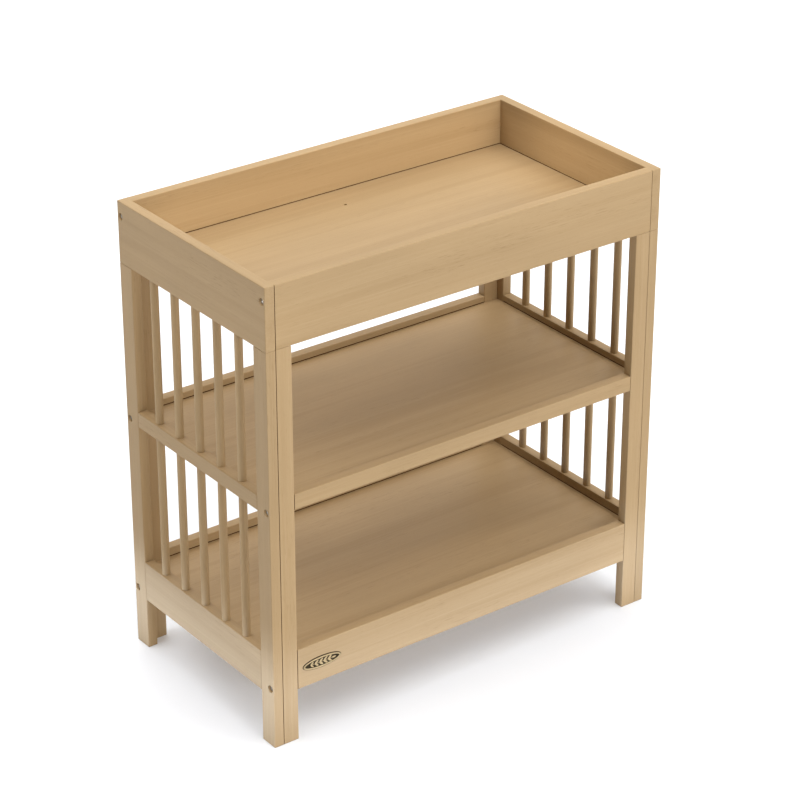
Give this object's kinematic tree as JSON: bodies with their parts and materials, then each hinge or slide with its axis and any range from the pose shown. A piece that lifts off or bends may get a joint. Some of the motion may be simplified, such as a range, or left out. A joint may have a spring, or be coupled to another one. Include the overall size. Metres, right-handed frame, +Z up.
{
  "type": "baby changing table",
  "caption": "Open wooden changing table: raised-edge tray for a pad on four L-shaped legs, two shelves, spindled ends, bolted corners.",
  "frame": {"origin": "on the floor, under the middle of the table", "axes": "+X along the table's length to the right, the front faces -Y, +Z up"},
  "size_m": [0.86, 0.4596, 0.9],
  "materials": {
    "back_bottom_rail_wood": "satin lacquered light hardwood, straight grain along the piece",
    "back_mid_rail_wood": "satin lacquered light hardwood, straight grain along the piece",
    "badge_brass": "antiqued cast brass, dark in the recesses",
    "bottom_shelf_panel_wood": "satin lacquered light hardwood, straight grain along the piece",
    "end_rail_pins_wood": "bare beech",
    "front_bottom_rail_wood": "satin lacquered light hardwood, straight grain along the piece",
    "front_mid_rail_wood": "satin lacquered light hardwood, straight grain along the piece",
    "left_back_leg_strip_wood": "satin lacquered light hardwood, straight grain along the piece",
    "left_back_post_wood": "satin lacquered light hardwood, straight grain along the piece",
    "left_bottom_rail_wood": "satin lacquered light hardwood, straight grain along the piece",
    "left_front_leg_strip_wood": "satin lacquered light hardwood, straight grain along the piece",
    "left_front_post_wood": "satin lacquered light hardwood, straight grain along the piece",
    "left_lower_spindle_1_wood": "satin lacquered light hardwood, straight grain along the piece",
    "left_lower_spindle_2_wood": "satin lacquered light hardwood, straight grain along the piece",
    "left_lower_spindle_3_wood": "satin lacquered light hardwood, straight grain along the piece",
    "left_lower_spindle_4_wood": "satin lacquered light hardwood, straight grain along the piece",
    "left_lower_spindle_5_wood": "satin lacquered light hardwood, straight grain along the piece",
    "left_mid_rail_wood": "satin lacquered light hardwood, straight grain along the piece",
    "left_upper_spindle_1_wood": "satin lacquered light hardwood, straight grain along the piece",
    "left_upper_spindle_2_wood": "satin lacquered light hardwood, straight grain along the piece",
    "left_upper_spindle_3_wood": "satin lacquered light hardwood, straight grain along the piece",
    "left_upper_spindle_4_wood": "satin lacquered light hardwood, straight grain along the piece",
    "left_upper_spindle_5_wood": "satin lacquered light hardwood, straight grain along the piece",
    "leg_top_pins_wood": "bare beech",
    "long_rail_pins_wood": "bare beech",
    "bolt_steel": "satin nickel-plated steel",
    "insert_brass": "plain turned brass",
    "mid_shelf_panel_wood": "satin lacquered light hardwood, straight grain along the piece",
    "right_back_leg_strip_wood": "satin lacquered light hardwood, straight grain along the piece",
    "right_back_post_wood": "satin lacquered light hardwood, straight grain along the piece",
    "right_bottom_rail_wood": "satin lacquered light hardwood, straight grain along the piece",
    "right_front_leg_strip_wood": "satin lacquered light hardwood, straight grain along the piece",
    "right_front_post_wood": "satin lacquered light hardwood, straight grain along the piece",
    "right_lower_spindle_1_wood": "satin lacquered light hardwood, straight grain along the piece",
    "right_lower_spindle_2_wood": "satin lacquered light hardwood, straight grain along the piece",
    "right_lower_spindle_3_wood": "satin lacquered light hardwood, straight grain along the piece",
    "right_lower_spindle_4_wood": "satin lacquered light hardwood, straight grain along the piece",
    "right_lower_spindle_5_wood": "satin lacquered light hardwood, straight grain along the piece",
    "right_mid_rail_wood": "satin lacquered light hardwood, straight grain along the piece",
    "right_upper_spindle_1_wood": "satin lacquered light hardwood, straight grain along the piece",
    "right_upper_spindle_2_wood": "satin lacquered light hardwood, straight grain along the piece",
    "right_upper_spindle_3_wood": "satin lacquered light hardwood, straight grain along the piece",
    "right_upper_spindle_4_wood": "satin lacquered light hardwood, straight grain along the piece",
    "right_upper_spindle_5_wood": "satin lacquered light hardwood, straight grain along the piece",
    "tray_back_board_wood": "satin lacquered light hardwood, straight grain along the piece",
    "tray_floor_panel_wood": "satin lacquered light hardwood, straight grain along the piece",
    "tray_front_board_wood": "satin lacquered light hardwood, straight grain along the piece",
    "tray_left_end_panel_wood": "satin lacquered light hardwood, straight grain along the piece",
    "tray_right_end_panel_wood": "satin lacquered light hardwood, straight grain along the piece"
  },
  "bodies": {
    "root": {"back_bottom_rail": "back_bottom_rail_wood", "back_mid_rail": "back_mid_rail_wood", "badge_plate": "badge_brass", "bottom_shelf_panel": "bottom_shelf_panel_wood", "end_rail_pins": "end_rail_pins_wood", "front_bottom_rail": "front_bottom_rail_wood", "front_mid_rail": "front_mid_rail_wood", "left_back_leg_strip": "left_back_leg_strip_wood", "left_back_post": "left_back_post_wood", "left_bottom_rail": "left_bottom_rail_wood", "left_front_leg_strip": "left_front_leg_strip_wood", "left_front_post": "left_front_post_wood", "left_lower_spindle_1": "left_lower_spindle_1_wood", "left_lower_spindle_2": "left_lower_spindle_2_wood", "left_lower_spindle_3": "left_lower_spindle_3_wood", "left_lower_spindle_4": "left_lower_spindle_4_wood", "left_lower_spindle_5": "left_lower_spindle_5_wood", "left_mid_rail": "left_mid_rail_wood", "left_upper_spindle_1": "left_upper_spindle_1_wood", "left_upper_spindle_2": "left_upper_spindle_2_wood", "left_upper_spindle_3": "left_upper_spindle_3_wood", "left_upper_spindle_4": "left_upper_spindle_4_wood", "left_upper_spindle_5": "left_upper_spindle_5_wood", "leg_top_pins": "leg_top_pins_wood", "long_rail_pins": "long_rail_pins_wood", "lower_leg_bolts": "bolt_steel", "lower_leg_inserts": "insert_brass", "mid_shelf_panel": "mid_shelf_panel_wood", "right_back_leg_strip": "right_back_leg_strip_wood", "right_back_post": "right_back_post_wood", "right_bottom_rail": "right_bottom_rail_wood", "right_front_leg_strip": "right_front_leg_strip_wood", "right_front_post": "right_front_post_wood", "right_lower_spindle_1": "right_lower_spindle_1_wood", "right_lower_spindle_2": "right_lower_spindle_2_wood", "right_lower_spindle_3": "right_lower_spindle_3_wood", "right_lower_spindle_4": "right_lower_spindle_4_wood", "right_lower_spindle_5": "right_lower_spindle_5_wood", "right_mid_rail": "right_mid_rail_wood", "right_upper_spindle_1": "right_upper_spindle_1_wood", "right_upper_spindle_2": "right_upper_spindle_2_wood", "right_upper_spindle_3": "right_upper_spindle_3_wood", "right_upper_spindle_4": "right_upper_spindle_4_wood", "right_upper_spindle_5": "right_upper_spindle_5_wood", "tray_back_board": "tray_back_board_wood", "tray_bolts": "bolt_steel", "tray_floor_panel": "tray_floor_panel_wood", "tray_front_board": "tray_front_board_wood", "tray_inserts": "insert_brass", "tray_left_end_panel": "tray_left_end_panel_wood", "tray_right_end_panel": "tray_right_end_panel_wood", "upper_leg_bolts": "bolt_steel", "upper_leg_inserts": "insert_brass"}
  },
  "joints": []
}
